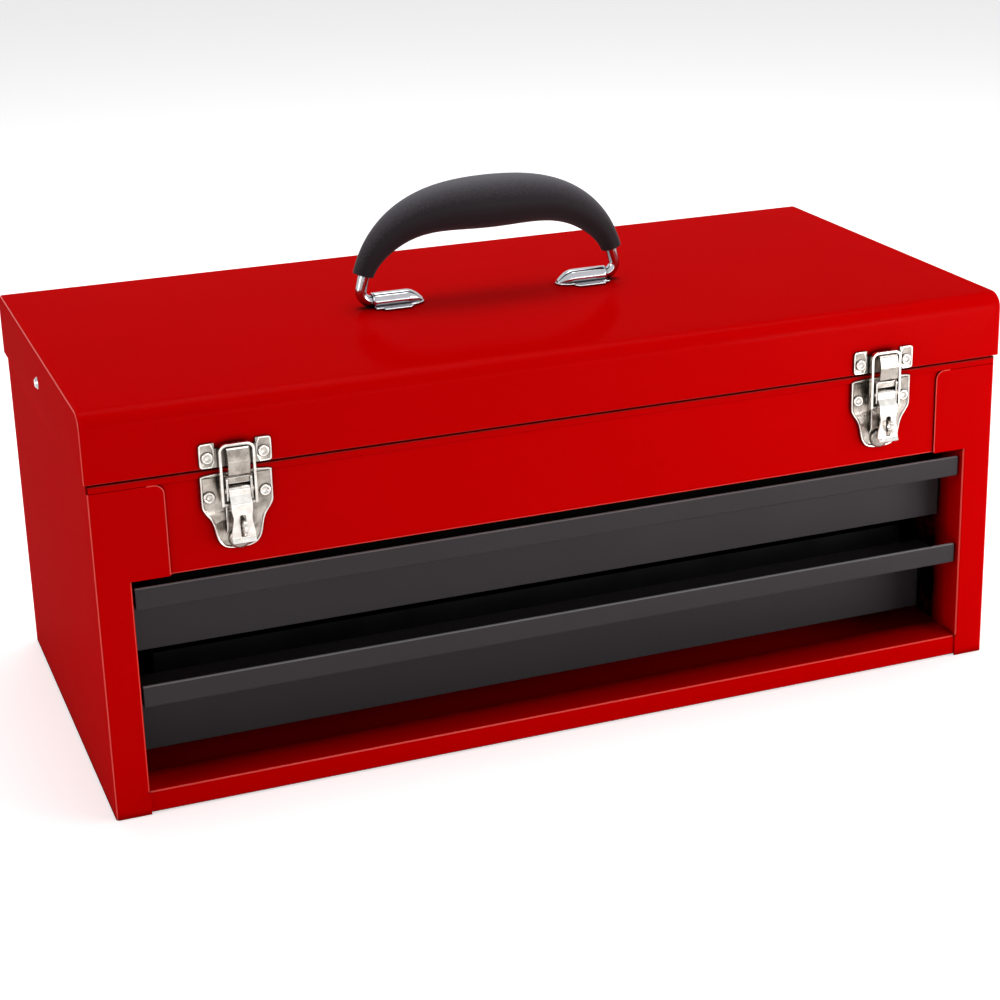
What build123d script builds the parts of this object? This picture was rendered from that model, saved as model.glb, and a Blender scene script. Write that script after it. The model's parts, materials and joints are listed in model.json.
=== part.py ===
# Portable steel tool box: a hinged lid over a top compartment, and two drawers below it.
# Millimetres. X runs along the front, +X to the right; the front faces -Y; +Z is up.
# The origin is on the underside of the floor, at the middle of the box.

from math import cos, degrees, radians, sin
import os

from build123d import *

os.makedirs("parts", exist_ok=True)

# ---- driving dimensions: lid and body ----
lid_width = 520.0
lid_depth = 256.0
lid_height = 36.0            # outside, from its lower edge to its top
lid_sheet = 1.0
lid_edge_radius = 9.0        # outside radius of the front and back top folds
lid_side_radius = 1.6        # small fold along the two ends
lid_hem = 8.0                # height of the lid's folded lower edge
body_height = 182.4
body_sheet = 1.0
body_inset = 1.5             # how far the body stands inside the lid's walls
body_hem = 7.0               # height of the body's folded top edge
seam_gap = 1.6               # between the body's rim and the lid's lower edge
bend = 1.5                   # bend radius of the sheet, at mid thickness
fit_gap = 0.3                # between folded parts that are not in contact

# ---- driving dimensions: drawer opening and front frame ----
corner_width = 18.5          # front corner flanges, beside the opening
corner_width_above = 38.0    # the same flanges above the opening
opening_bottom = 12.6        # top of the bottom rail
apron_height = 52.6          # of the front above the opening
flange_drop = 3.8            # top of the corner flanges below the body's rim
flange_corner = 5.0          # rounded upper corner of each wide flange
jamb_depth = 14.0            # return of the corner flange beside the opening
ledge_depth = 24.0           # ledge behind the bottom rail
apron_return = 12.0          # ledge behind the apron's lower edge
rear_flange = 12.0           # flange of each side panel behind the back panel
pan_flange = 12.0            # turned-up edges of the floor and of the compartment floor

# ---- driving dimensions: drawers and slides ----
drawer_sheet = 0.8
slide_space = 14.0           # on each side of a drawer, for its slide
drawer_back_gap = 18.5       # behind a drawer
drawer_hem = 4.0             # folded top edge of the drawer's walls
lip_setback = 3.0            # of the drawer lips behind the front frame
lip_side_gap = 1.5           # between the end of a lip and the jamb
lip_height = 12.1
lip_bead = 1.3               # radius of the rolled bead along a lip's top
lip_top_gap = 5.4            # between the upper lip and the apron
lip_pitch_share = 0.46       # of the opening's height, from one lip to the next
drawer_gap = 11.7            # between the two drawers
lower_drawer_gap = 3.5       # between the lower drawer and the bottom rail
upper_face_setback = 20.0    # of the upper drawer's face behind its lip
lower_face_setback = 39.0    # of the lower drawer's face behind its lip
slide_sheet = 1.0
runner_height = 24.0
runner_depth = 12.0
runner_back_gap = 27.4       # behind a runner
rail_gap = 0.3               # running gap above and below a rail in its runner
rail_side_gap = 1.4          # between a rail's flanges and its runner's web

# ---- driving dimensions: hinge and lid stay ----
hinge_end = 25.0             # from each end of the hinge to the end of the lid
hinge_knuckles = 9
hinge_leaf = 1.0
hinge_leaf_height = 17.0     # of each leaf, from the pin
hinge_radius = 2.6
hinge_pin_radius = 1.4
hinge_clearance = 0.06
stay_sheet = 1.5
stay_width = 10.0
stay_pin_radius = 2.0
stay_head_radius = 3.4
stay_lid_y = -3.0            # pivot on the lid's left end
stay_lid_drop = 18.5         # the same pivot below the lid's top
stay_case_gap = 24.5         # pivot on the left side panel, in front of the body's back
stay_case_drop = 35.4        # the same pivot below the body's rim
stay_inset = 4.1             # from the lid's inner face to the link

# ---- driving dimensions: latches ----
latch_inset = 76.0           # from the end of the lid to the middle of a latch
latch_width = 37.0
latch_sheet = 1.0
keeper_bottom_gap = 0.4      # keeper above the lid's lower edge
keeper_height = 12.8
keeper_ear = 8.0
tongue_width = 11.0
tongue_height = 13.6
tongue_reach = 6.4           # of the tongue's shelf from the lid's face
base_top_gap = 1.6           # latch base below the body's rim
base_height = 41.2
base_rim = 2.0               # how far the latch base stands off the apron
latch_pin_radius = 1.2
latch_clearance = 0.05
latch_rivet_radius = 3.1
lever_knuckle = 2.2
lever_drop = 24.5            # from the lever's pivot to its outward lip
lever_slot_top = 12.2        # of the slot below the lever's pivot
lever_slot_height = 11.6
lever_slot_width = 3.0
staple_drop = 17.6           # of the padlock eye below the lever's pivot
lug_straight = 5.0           # lugs below the pivot at their full depth, before they taper off
base_straight = 18.0         # straight sides at the top of the latch base
lever_offset = 4.4           # of the lever's face in front of its pivot
loop_arm = 7.3               # from the lever's pivot to the loop's pivot
loop_width = 18.4
loop_strip = 1.3
loop_depth = 2.6
loop_pin_radius = 1.0
loop_lift = 0.35             # the loop's bar above the keeper's shelf
staple_hole = 2.2            # radius of the padlock hole
staple_radius = 3.4          # of the padlock eye's round end
staple_sheet = 1.5

# ---- driving dimensions: carrying handle ----
rod_radius = 3.25
rod_half_width = 79.0        # to the middle of the rod
rod_bend = 6.0
rod_arch = 45.0              # bend radius inside the grip
grip_top = 69.0              # above the lid
grip_height = 30.4
grip_width = 23.0
grip_end_height = 12.0
grip_end_rise = 18.5         # grip's ends above the lid
grip_half = ((75.4, -34.7, 73.0, grip_end_height), (70.0, -24.0, 52.0, 14.6), (56.0, -10.4, 28.0, 20.4),
             (30.0, -1.2, 8.0, 27.0), (0.0, 0.0, 0.0, grip_height))
bracket_sheet = 1.3
bracket_length = 30.5
bracket_inner = 40.5         # nearest point of a bracket to the middle of the box
bracket_nose = 10.0
bracket_flange = 4.5
bracket_tab = 3.5
rod_clearance = 0.08

backing_width = 46.0         # stiffening plate under the lid
backing_overhang = 15.0      # of that plate past the brackets

# ---- places worked out from the driving dimensions ----
lid_bottom = body_height + seam_gap
lid_top = lid_bottom + lid_height
lid_front = -lid_depth / 2
lid_half_width = lid_width / 2
body_front = lid_front + body_inset
body_back = -body_front
body_half_width = lid_half_width - body_inset
wall_inner = body_half_width - body_sheet
opening_half_width = body_half_width - corner_width
flange_inner = body_half_width - corner_width_above
opening_top = body_height - apron_height
flange_top = body_height - flange_drop
apron_front = body_front + body_sheet
apron_back = apron_front + body_sheet
drawer_half_width = opening_half_width - slide_space
drawer_back = body_back - drawer_back_gap
upper_lip_top = opening_top - lip_top_gap
lower_lip_top = upper_lip_top - lip_pitch_share * (opening_top - opening_bottom)
upper_drawer_bottom = lower_lip_top + drawer_gap
lower_drawer_bottom = opening_bottom + lower_drawer_gap
lip_front = body_front + lip_setback
lip_half_width = opening_half_width - lip_side_gap
liner_x = opening_half_width + body_sheet
runner_x = liner_x
rail_outer = runner_x - slide_sheet - rail_side_gap
hinge_y = -lid_front + hinge_radius
hinge_z = body_height + seam_gap / 2
hinge_length = lid_width - 2 * hinge_end
knuckle_pitch = hinge_length / hinge_knuckles
runner_end = body_back - runner_back_gap
stay_lid_z = lid_top - stay_lid_drop
stay_case_y = body_back - stay_case_gap
stay_case_z = body_height - stay_case_drop
latch_x = lid_half_width - latch_inset


# ---- small helpers ----
def strip(points, thickness, radius=0.0):
    """Section of a folded sheet, from the middle line of its thickness."""
    path = FilletPolyline(*points, radius=radius) if radius else Polyline(*points)
    return trace(path, thickness)


def along_x(section, start, end):
    """Extrude a section drawn in (Y, Z) from one X to another."""
    return extrude(Plane.YZ.offset(start) * section, amount=end - start)


def along_y(section, start, end):
    """Extrude a section drawn in (X, Z) from one Y to another."""
    return extrude(Plane.XZ.offset(-end) * section, amount=end - start)


def along_z(section, start, end):
    """Extrude a section drawn in (X, Y) from one Z to another."""
    return extrude(Plane.XY.offset(start) * section, amount=end - start)


def block(x0, x1, y0, y1, z0, z1):
    """A box between two corners."""
    return Pos((x0 + x1) / 2, (y0 + y1) / 2, (z0 + z1) / 2) * Box(x1 - x0, y1 - y0, z1 - z0)


def rod_x(radius, start, end, y, z):
    """A round rod along X."""
    return Pos((start + end) / 2, y, z) * Rot(0, 90, 0) * Cylinder(radius, end - start)


def inside_corners():
    """Upright column that fits between the side panels, clear of their rounded bends."""
    front = apron_front
    rear = body_back - 2 * body_sheet
    hollow = Pos(0, (front + rear) / 2) * RectangleRounded(2 * wall_inner, rear - front, bend)
    return along_z(hollow, 0, lid_top)


def mirrored(shape):
    """The same piece on the other side of the box."""
    return mirror(shape, about=Plane.YZ)


def save(shape, node):
    """Write one sub-part."""
    shape.label = node
    export_step(shape, f"parts/{node}.step")


# ---- body ----
def side_panel():
    """Left side: wall, front corner flanges, jamb, rear flange and top hem in one sheet."""
    half = body_sheet / 2
    wall = -body_half_width + half
    front = body_front + half
    rear = body_back - body_sheet - half
    jamb = -opening_half_width - half
    behind = [(wall, front), (wall, rear), (wall + rear_flange, rear)]
    foot = strip([(-opening_half_width, front)] + behind, body_sheet, bend)
    beside = strip([(jamb, front + jamb_depth - half), (jamb, front)] + behind, body_sheet, bend)
    high = strip([(-flange_inner, front)] + behind, body_sheet, bend)
    panel = along_z(foot, 0, opening_bottom) + along_z(beside, opening_bottom, opening_top)
    panel += along_z(high, opening_top, flange_top)
    panel -= block(-flange_inner - flange_corner, 0, body_front - 1, body_front + body_sheet + fit_gap,
                   flange_top - flange_corner, flange_top + 1)
    corner = Pos(-flange_inner - flange_corner, 0, flange_top - flange_corner)
    round_end = corner * Rot(90, 0, 0) * Cylinder(flange_corner, 2 * lid_depth)
    panel += round_end & block(-flange_inner - flange_corner, -flange_inner, body_front,
                               body_front + body_sheet, flange_top - flange_corner, flange_top)
    wall_top = block(-body_half_width, -wall_inner, body_front + bend, body_back - body_sheet - bend,
                     flange_top - flange_corner, body_height)
    hem = block(-wall_inner, -wall_inner + body_sheet, apron_back + fit_gap,
                body_back - 2 * body_sheet - fit_gap, body_height - body_hem, body_height)
    return panel + wall_top + hem


def back_panel():
    """Back, laid over the rear flanges of the sides, with its top edge folded in."""
    reach = body_half_width - bend
    panel = block(-reach, reach, body_back - body_sheet, body_back, 0, body_height)
    inside = wall_inner - body_sheet - fit_gap
    hem = block(-inside, inside, body_back - 2 * body_sheet, body_back - body_sheet,
                body_height - body_hem, body_height)
    rear_corner = body_half_width - rear_flange - 2 * bend
    hem -= block(-lid_width, -rear_corner, 0, lid_depth, 0, flange_top)
    hem -= block(rear_corner, lid_width, 0, lid_depth, 0, flange_top)
    return panel + hem


def floor_pan():
    """Floor with the front rail and ledge folded up from it, and turned-up side edges."""
    half = body_sheet / 2
    front = apron_front + half
    rear = body_back - 2 * body_sheet
    section = strip([(rear, half), (front, half), (front, opening_bottom - half),
                     (front + ledge_depth, opening_bottom - half),
                     (front + ledge_depth, body_sheet + fit_gap)], body_sheet, bend)
    pan = along_x(section, -wall_inner, wall_inner)
    behind_ledge = front + ledge_depth + bend
    for side in (-1, 1):
        inner, outer = sorted((side * (wall_inner - body_sheet), side * wall_inner))
        pan += block(inner, outer, behind_ledge, rear - fit_gap, 0, pan_flange)
    pan &= inside_corners()
    notch = body_half_width - rear_flange - 2 * bend
    pan += block(-notch, notch, rear, body_back - body_sheet, 0, pan_flange)
    return pan


def front_apron():
    """Panel above the drawers: a ledge at its foot and a hem folded outwards along its top."""
    half = body_sheet / 2
    middle = apron_front + half
    section = strip([(middle + apron_return, opening_top + half), (middle, opening_top + half),
                     (middle, body_height)], body_sheet, bend)
    apron = along_x(section, -wall_inner, wall_inner) & inside_corners()
    hem = block(-wall_inner, wall_inner, body_front, apron_back, flange_top + fit_gap, body_height)
    top_edges = hem.edges().filter_by(Axis.X).group_by(Axis.Z)[-1]
    hem = fillet(top_edges, body_sheet * 0.9)
    apron = apron - block(-lid_width, lid_width, body_front - 1, apron_back + 1, flange_top + fit_gap, lid_bottom)
    return apron + hem


def compartment_floor():
    """Floor of the top compartment, laid on the apron's ledge, with its long edges turned up."""
    half = body_sheet / 2
    low = opening_top + body_sheet
    front = apron_back + half
    rear = body_back - 2 * body_sheet - half
    section = strip([(front, low + pan_flange), (front, low + half), (rear, low + half), (rear, low + pan_flange)],
                    body_sheet, bend)
    return along_x(section, -wall_inner, wall_inner) & inside_corners()


def slide_liner():
    """Left liner that carries the runners: lapped on the jamb, footed on the side wall."""
    half = body_sheet / 2
    web = -liner_x - half
    foot_y = runner_end + fit_gap
    section = strip([(web, body_front + jamb_depth / 2), (web, foot_y), (-wall_inner + half, foot_y),
                     (-wall_inner + half, foot_y + rear_flange)], body_sheet, bend)
    return along_z(section, opening_bottom + fit_gap, opening_top)


def runner(height, start):
    """Left case-side channel, open towards the drawer."""
    half = slide_sheet / 2
    top = runner_height / 2 - half
    web = -runner_x + half
    section = strip([(web + runner_depth - half, height + top), (web, height + top), (web, height - top),
                     (web + runner_depth - half, height - top)], slide_sheet, bend / 2)
    return along_y(section, start, runner_end)


def rail(height, start):
    """Left drawer-side channel, open towards the case and nested in the runner."""
    half = slide_sheet / 2
    top = runner_height / 2 - slide_sheet - rail_gap - half
    web = -drawer_half_width - half
    section = strip([(-rail_outer, height + top), (web, height + top), (web, height - top),
                     (-rail_outer, height - top)], slide_sheet, bend / 2)
    return along_y(section, start, runner_end)


# ---- drawers ----
def drawer_tray(bottom, top, face):
    """Open tray of a drawer, with its top edge folded over inside."""
    front = face + drawer_sheet
    tray = block(-drawer_half_width, drawer_half_width, front, drawer_back, bottom, top)
    upright = tray.edges().filter_by(Axis.Z)
    tray = fillet(upright, 2 * drawer_sheet)
    hollow = block(-drawer_half_width + drawer_sheet, drawer_half_width - drawer_sheet,
                   front + drawer_sheet, drawer_back - drawer_sheet, bottom + drawer_sheet, top - drawer_hem)
    hollow = fillet(hollow.edges().filter_by(Axis.Z), drawer_sheet)
    hem = 2 * drawer_sheet
    mouth = block(-drawer_half_width + hem, drawer_half_width - hem, front + hem, drawer_back - hem,
                  top - 2 * drawer_hem, top + drawer_hem)
    return tray - hollow - mouth


def drawer_front(bottom, lip_top, face):
    """Full-width drawer face that folds forward to a lip with a rolled top bead."""
    half = drawer_sheet / 2
    lip = lip_front + half
    shelf = lip_top - lip_height + half
    flat = strip([(face + half, bottom), (face + half, shelf + half)], drawer_sheet)
    front = along_x(flat, -lip_half_width, lip_half_width)
    pull = strip([(face + drawer_sheet, shelf), (lip, shelf), (lip, lip_top - lip_bead)], drawer_sheet, bend)
    front += along_x(pull, -lip_half_width, lip_half_width)
    front += rod_x(lip_bead, -lip_half_width, lip_half_width, lip_front + lip_bead, lip_top - lip_bead)
    return front


# ---- lid ----
def lid_shell():
    """Pressed lid: large front and back folds, small end folds, and a hem along its lower edge."""
    outer = block(-lid_half_width, lid_half_width, lid_front, -lid_front, lid_bottom, lid_top)
    top = outer.edges().group_by(Axis.Z)[-1]
    outer = fillet(top.filter_by(Axis.X), lid_edge_radius)
    ends = outer.faces().sort_by(Axis.X)
    rim = (ends[0].edges() + ends[-1].edges()).filter_by(lambda edge: edge.center().Z > lid_bottom + 1)
    outer = fillet(rim, lid_side_radius)
    inner = block(-lid_half_width + lid_sheet, lid_half_width - lid_sheet, lid_front + lid_sheet,
                  -lid_front - lid_sheet, lid_bottom + lid_hem, lid_top - lid_sheet)
    inner_top = inner.edges().group_by(Axis.Z)[-1]
    inner = fillet(inner_top.filter_by(Axis.X), lid_edge_radius - lid_sheet)
    hem = 2 * lid_sheet
    mouth = block(-lid_half_width + hem, lid_half_width - hem, lid_front + hem, -lid_front - hem,
                  lid_bottom - 1, lid_bottom + lid_hem + lid_sheet)
    lid = outer - inner - mouth
    lid -= rod_x(stay_pin_radius, -lid_half_width - 1, -lid_half_width + lid_sheet + 1, stay_lid_y, stay_lid_z)
    return lid


# ---- piano hinge ----
def knuckle_spans(first):
    """X ranges of every second knuckle, starting at knuckle number first."""
    spans = []
    for number in range(first, hinge_knuckles, 2):
        start = -hinge_length / 2 + number * knuckle_pitch
        spans.append((start + fit_gap / 2, start + knuckle_pitch - fit_gap / 2))
    return spans


def knuckled(section, first):
    """One leaf of the hinge: a long strip, with its knuckles round the pin."""
    clear = Pos(hinge_y, hinge_z) * Circle(hinge_radius + fit_gap)
    leaf = along_x(section - clear, -hinge_length / 2, hinge_length / 2)
    for start, end in knuckle_spans(first):
        leaf += along_x(section + Pos(hinge_y, hinge_z) * Circle(hinge_radius), start, end)
    return leaf - rod_x(hinge_pin_radius + hinge_clearance, -hinge_length, hinge_length, hinge_y, hinge_z)


def hinge_leaf_body():
    """Lower leaf: flat on the back panel, cranked out to the pin."""
    wall = body_back + hinge_leaf / 2
    out = -lid_front + hinge_leaf / 2 + fit_gap / 3
    return knuckled(strip([(wall, hinge_z - hinge_leaf_height), (wall, hinge_z - 4.7), (out, hinge_z - 2.7),
                           (out, hinge_z)], hinge_leaf, 1.0), 0)


def hinge_leaf_lid():
    """Upper leaf: flat on the outside of the lid's back wall."""
    wall = -lid_front + hinge_leaf / 2
    return knuckled(strip([(wall, hinge_z), (wall, hinge_z + hinge_leaf_height)], hinge_leaf), 1)


def hinge_pin():
    """Pin of the piano hinge, staked over at both ends of the knuckles."""
    end = hinge_length / 2
    pin = rod_x(hinge_pin_radius, -end - 1, end + 1, hinge_y, hinge_z)
    for side in (-1, 1):
        low, high = sorted((side * (end + fit_gap), side * (end + 1.5)))
        pin += rod_x(hinge_pin_radius + 0.7, low, high, hinge_y, hinge_z)
    return pin


# ---- lid stay, on the left ----
link_outer = -lid_half_width + lid_sheet + stay_inset
arm_outer = link_outer + stay_sheet + fit_gap
elbow_y = stay_lid_y + stay_case_y - hinge_y
elbow_z = stay_lid_z + stay_case_z - hinge_z


def stay_bar(start, end, outer, hole_start, hole_end):
    """A flat bar with round ends and a pivot hole at each, lying in a plane of constant X."""
    slot = SlotCenterToCenter(((end[0] - start[0]) ** 2 + (end[1] - start[1]) ** 2) ** 0.5, stay_width)
    middle = Vector((start[0] + end[0]) / 2, (start[1] + end[1]) / 2)
    turn = Vector(end[0] - start[0], end[1] - start[1]).get_signed_angle(Vector(1, 0), Vector(0, 0, -1))
    bar = along_x(Pos(middle.X, middle.Y) * Rot(0, 0, turn) * slot, outer, outer + stay_sheet)
    bar -= rod_x(hole_start, outer - 1, outer + stay_sheet + 1, *start)
    bar -= rod_x(hole_end, outer - 1, outer + stay_sheet + 1, *end)
    return bar


def stay_arm():
    """Long arm, from the pivot on the side panel to the elbow."""
    running = stay_pin_radius + latch_clearance
    return stay_bar((stay_case_y, stay_case_z), (elbow_y, elbow_z), arm_outer, running, stay_pin_radius)


def stay_link():
    """Short link, from the elbow to the rivet in the lid's end."""
    running = stay_pin_radius + latch_clearance
    return stay_bar((elbow_y, elbow_z), (stay_lid_y, stay_lid_z), link_outer, running, running)


def stay_elbow_rivet():
    """Rivet of the elbow, fast in the arm."""
    inner = arm_outer + stay_sheet
    rivet = rod_x(stay_pin_radius, link_outer - 1, inner + 1, elbow_y, elbow_z)
    rivet += rod_x(stay_head_radius, link_outer - 1.2, link_outer - fit_gap, elbow_y, elbow_z)
    return rivet + rod_x(stay_head_radius, inner, inner + 1, elbow_y, elbow_z)


def stay_lid_rivet():
    """Rivet through the lid's left end, with a domed head outside and a shoulder inside."""
    shoulder = rod_x(stay_head_radius, -lid_half_width + lid_sheet, link_outer - fit_gap, stay_lid_y, stay_lid_z)
    shank = rod_x(stay_pin_radius, -lid_half_width - 0.2, link_outer + stay_sheet + 1, stay_lid_y, stay_lid_z)
    head = Pos(-lid_half_width, stay_lid_y, stay_lid_z) * Rot(0, -90, 0) * rivet_head(stay_head_radius, 1.3)
    clinch = rod_x(stay_head_radius - 1, link_outer + stay_sheet + fit_gap / 2,
                   link_outer + stay_sheet + 1, stay_lid_y, stay_lid_z)
    return shoulder + shank + head + clinch


def stay_case_stud():
    """Stud welded inside the left side panel, carrying the arm."""
    foot = rod_x(stay_head_radius, -wall_inner, arm_outer - fit_gap, stay_case_y, stay_case_z)
    shank = rod_x(stay_pin_radius, -wall_inner, arm_outer + stay_sheet + 1, stay_case_y, stay_case_z)
    head = rod_x(stay_head_radius, arm_outer + stay_sheet + fit_gap, arm_outer + stay_sheet + 1.3,
                 stay_case_y, stay_case_z)
    return foot + shank + head


# ---- rivets ----
def rivet_head(radius, height):
    """Low head that stands on the XY plane, tapered to a flat."""
    return Pos(0, 0, height / 2) * Cone(radius, radius * 0.62, height)


def rivet_on(x, y, z):
    """A latch rivet whose head stands on a face that looks to the front."""
    return Pos(x, y, z) * Rot(90, 0, 0) * rivet_head(latch_rivet_radius, 1.3)


# ---- latches: each is drawn round X = 0 and then moved to its place ----
keeper_back = lid_front
keeper_front = lid_front - latch_sheet
keeper_low = lid_bottom + keeper_bottom_gap
keeper_top = keeper_low + keeper_height
shelf_top = keeper_top - 2.1
base_front = apron_front - base_rim
base_top = body_height - base_top_gap
base_bottom = base_top - base_height
pivot_y = base_front - 4.1
pivot_z = base_top - 8.5
loop_pivot_z = pivot_z - loop_arm
bar_bottom = shelf_top + loop_lift
ear_rivet_x = latch_width / 2 - 4.2
staple_z = pivot_z - staple_drop
lug_inner = 5.7
lug_outer = 6.7
lever_half = lug_inner - fit_gap


def keeper():
    """Catch on the lid: two riveted ears and a tongue folded out to a shelf and down."""
    wide = latch_width / 2
    ears = Pos(0, (keeper_low + keeper_top) / 2) * RectangleRounded(latch_width, keeper_height, 2)
    gap_top = shelf_top - latch_sheet
    gap = Pos(0, (gap_top + keeper_top) / 2 + 2) * Rectangle(2 * (wide - keeper_ear), keeper_top - gap_top + 4)
    plate = along_y(ears - gap, keeper_front, keeper_back)
    half = latch_sheet / 2
    out = lid_front - tongue_reach
    tongue = strip([(keeper_front + half, keeper_low + 2), (keeper_front + half, shelf_top - half),
                    (out, shelf_top - half), (out - 1.6, shelf_top - tongue_height / 2),
                    (out - 0.6, shelf_top - tongue_height)], latch_sheet, 1.1)
    return plate + along_x(tongue, -tongue_width / 2, tongue_width / 2)


def both_sides(right):
    """Outline in (X, Z) from its right half, listed upwards."""
    return Polygon(*right, *[(-x, z) for x, z in reversed(right)], align=None)


def base_outline(grow=0.0):
    """Outline of the latch base in (X, Z): straight ears, waisted sides and a round foot."""
    wide = latch_width / 2 + grow
    top = base_top + grow
    low = base_bottom - grow
    waist = top - base_straight
    right = [(5.6, low), (wide - 6.4, waist - 16), (wide - 4.8, waist - 9), (wide, waist), (wide, top)]
    outline = both_sides(right)
    for (x, z), radius in zip(right, (5, 6, 9, 7, 1.5)):
        near = [v for v in outline.vertices() if abs(abs(v.X) - x) < 0.01 and abs(v.Y - z) < 0.01]
        outline = fillet(near, radius)
    return outline


def latch_base():
    """Pressed plate on the apron, with two lugs, a bridge band and a rounded boss at its foot."""
    plate = along_y(base_outline(), base_front, apron_front)
    pocket = along_y(base_outline(-latch_sheet), base_front + latch_sheet, apron_front + 1)
    plate -= pocket
    plate -= block(-latch_width, latch_width, body_front, apron_front + 1, flange_top, body_height)
    bridge_low = pivot_z + lever_knuckle + 1.5
    bridge_top = bridge_low + 3.4
    lug_front = pivot_y - lever_knuckle
    behind = base_front + latch_sheet / 2
    shallow = pivot_y + loop_pin_radius + latch_pin_radius
    lug = Polygon((behind, bridge_top), (lug_front, bridge_top), (lug_front, pivot_z - lug_straight),
                  (shallow, pivot_z - lug_straight - 1.2), (base_front - 1.6, staple_z - staple_radius),
                  (behind, staple_z - 2 * staple_radius), align=None)
    lug = fillet(lug.vertices().sort_by(Axis.X)[:2], 1.4)
    for side in (-1, 1):
        low, high = sorted((side * lug_inner, side * lug_outer))
        plate += along_x(lug, low, high)
    plate += block(-lug_outer, lug_outer, lug_front + 1, lug_front + 2, bridge_low, bridge_top)
    boss_z = base_bottom + 6.2
    plate += Pos(0, base_front - 1.5, boss_z) * Rot(90, 0, 0) * Cone(5.4, 3.6, 3.6)
    slot = Rectangle(staple_sheet + 2 * latch_clearance, 2 * (staple_radius + latch_clearance))
    plate -= along_y(Pos(0, staple_z) * slot, base_front - 4, base_front + 2)
    return plate - rod_x(latch_pin_radius, -lug_outer - 1, lug_outer + 1, pivot_y, pivot_z)


def latch_pin():
    """Pivot pin of a lever, headed outside both lugs."""
    end = lug_outer + 0.7
    pin = rod_x(latch_pin_radius, -end, end, pivot_y, pivot_z)
    for side in (-1, 1):
        low, high = sorted((side * lug_outer, side * end))
        pin += rod_x(latch_pin_radius + 0.7, low, high, pivot_y, pivot_z)
    return pin


def latch_staple():
    """Padlock eye: a plate on edge that stands through the base and through the lever's slot."""
    tip = pivot_y - lever_offset - staple_radius - 3.2
    shank = Pos((tip + staple_radius + apron_front) / 2, staple_z) * Rectangle(
        apron_front - tip - staple_radius, 2 * staple_radius)
    eye = Pos(tip + staple_radius, staple_z)
    return along_x(shank + eye * Circle(staple_radius) - eye * Circle(staple_hole), -staple_sheet / 2,
                   staple_sheet / 2)


def latch_lever():
    """Stamped lever: knuckle round the pin, waisted face with a slot, and ears for the loop."""
    half = latch_sheet / 2
    y = pivot_y
    z = pivot_z
    start = y - lever_knuckle + half
    path = [(start, z), (start, z - 2.6), (y - lever_offset, z - 6.4), (y - lever_offset, z - lever_drop),
            (y - lever_offset - 1.7, z - lever_drop - 2.2)]
    lever = along_x(strip(path, latch_sheet, 1.2), -7, 7)
    lip = z - lever_drop
    right = [(4.4, lip - 3.5), (6.1, lip - 1.5), (6.1, lip + 2.5), (5.1, lip + 7.5), (4.6, lip + 10.9),
             (lever_half, z - 9.8), (lever_half, z + 3)]
    lever &= along_y(both_sides(right), y - 10, y + 10)
    lever += rod_x(lever_knuckle, -lever_half, lever_half, y, z)
    slot = Pos(0, z - lever_slot_top - lever_slot_height / 2)
    slot *= RectangleRounded(lever_slot_width, lever_slot_height, 0.8)
    lever -= along_y(slot, y - 10, y - 1)
    ear = Pos(y - lever_offset / 2, loop_pivot_z) * RectangleRounded(lever_offset + 3.8, 3.6, 1.7)
    for side in (-1, 1):
        low, high = sorted((side * (lever_half - latch_sheet), side * lever_half))
        trimmed = along_x(ear, low, high)
        lever += trimmed & block(low, high, y - lever_offset, y + 3, 0, lid_top)
    lever -= rod_x(latch_pin_radius + latch_clearance, -9, 9, y, z)
    return lever - rod_x(loop_pin_radius + latch_clearance, -9, 9, y, loop_pivot_z)


def latch_loop():
    """Draw loop: a bar over the keeper's shelf, two legs, and pins turned in to the lever's ears."""
    top = bar_bottom + loop_strip
    outer = Pos(0, top / 2) * RectangleRounded(loop_width, top, 4)
    inner = Pos(0, bar_bottom / 2) * RectangleRounded(loop_width - 2 * loop_strip, bar_bottom, 4 - loop_strip)
    ring = along_y(outer - inner, pivot_y - loop_depth / 2, pivot_y + loop_depth / 2)
    loop = ring & block(-loop_width, loop_width, -lid_depth, 0, loop_pivot_z, lid_top)
    for side in (-1, 1):
        edge = side * loop_width / 2
        low, high = sorted((edge, edge - side * loop_strip))
        loop += rod_x(loop_depth / 2, low, high, pivot_y, loop_pivot_z)
        low, high = sorted((edge, side * (lever_half - latch_sheet - fit_gap)))
        loop += rod_x(loop_pin_radius, low, high, pivot_y, loop_pivot_z)
    return loop


# ---- carrying handle ----
rod_z = lid_top + rod_radius + fit_gap
grip_end = lid_top + grip_end_rise
grip_middle = lid_top + grip_top - grip_height / 2
rod_crown_z = grip_middle - 4.7
bracket_outer = bracket_inner + bracket_length
rod_end = bracket_inner + bracket_nose + 1


def handle_rod():
    """Bent steel rod: ends turned in to the brackets, sides rising into the grip."""
    lean = (rod_crown_z - rod_z) / 3.73
    side = [(rod_end, rod_z), (rod_half_width, rod_z), (rod_half_width - lean, rod_crown_z)]
    points = side + [(-x, z) for x, z in reversed(side)]
    turns = [rod_bend, rod_arch]
    path = Plane.XZ * FilletPolyline(*points, radius=turns + turns[::-1])
    rod = Part()
    for run in path.edges():
        face = Plane(origin=run @ 0, z_dir=run % 0) * Circle(rod_radius)
        if run.geom_type == GeomType.LINE:
            rod += extrude(face, amount=run.length)
        else:
            centre = run.arc_center
            turn = Axis(centre, ((run @ 0) - centre).cross(run % 0))
            rod += revolve(face, turn, degrees(run.length / run.radius))
    return rod


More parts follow.
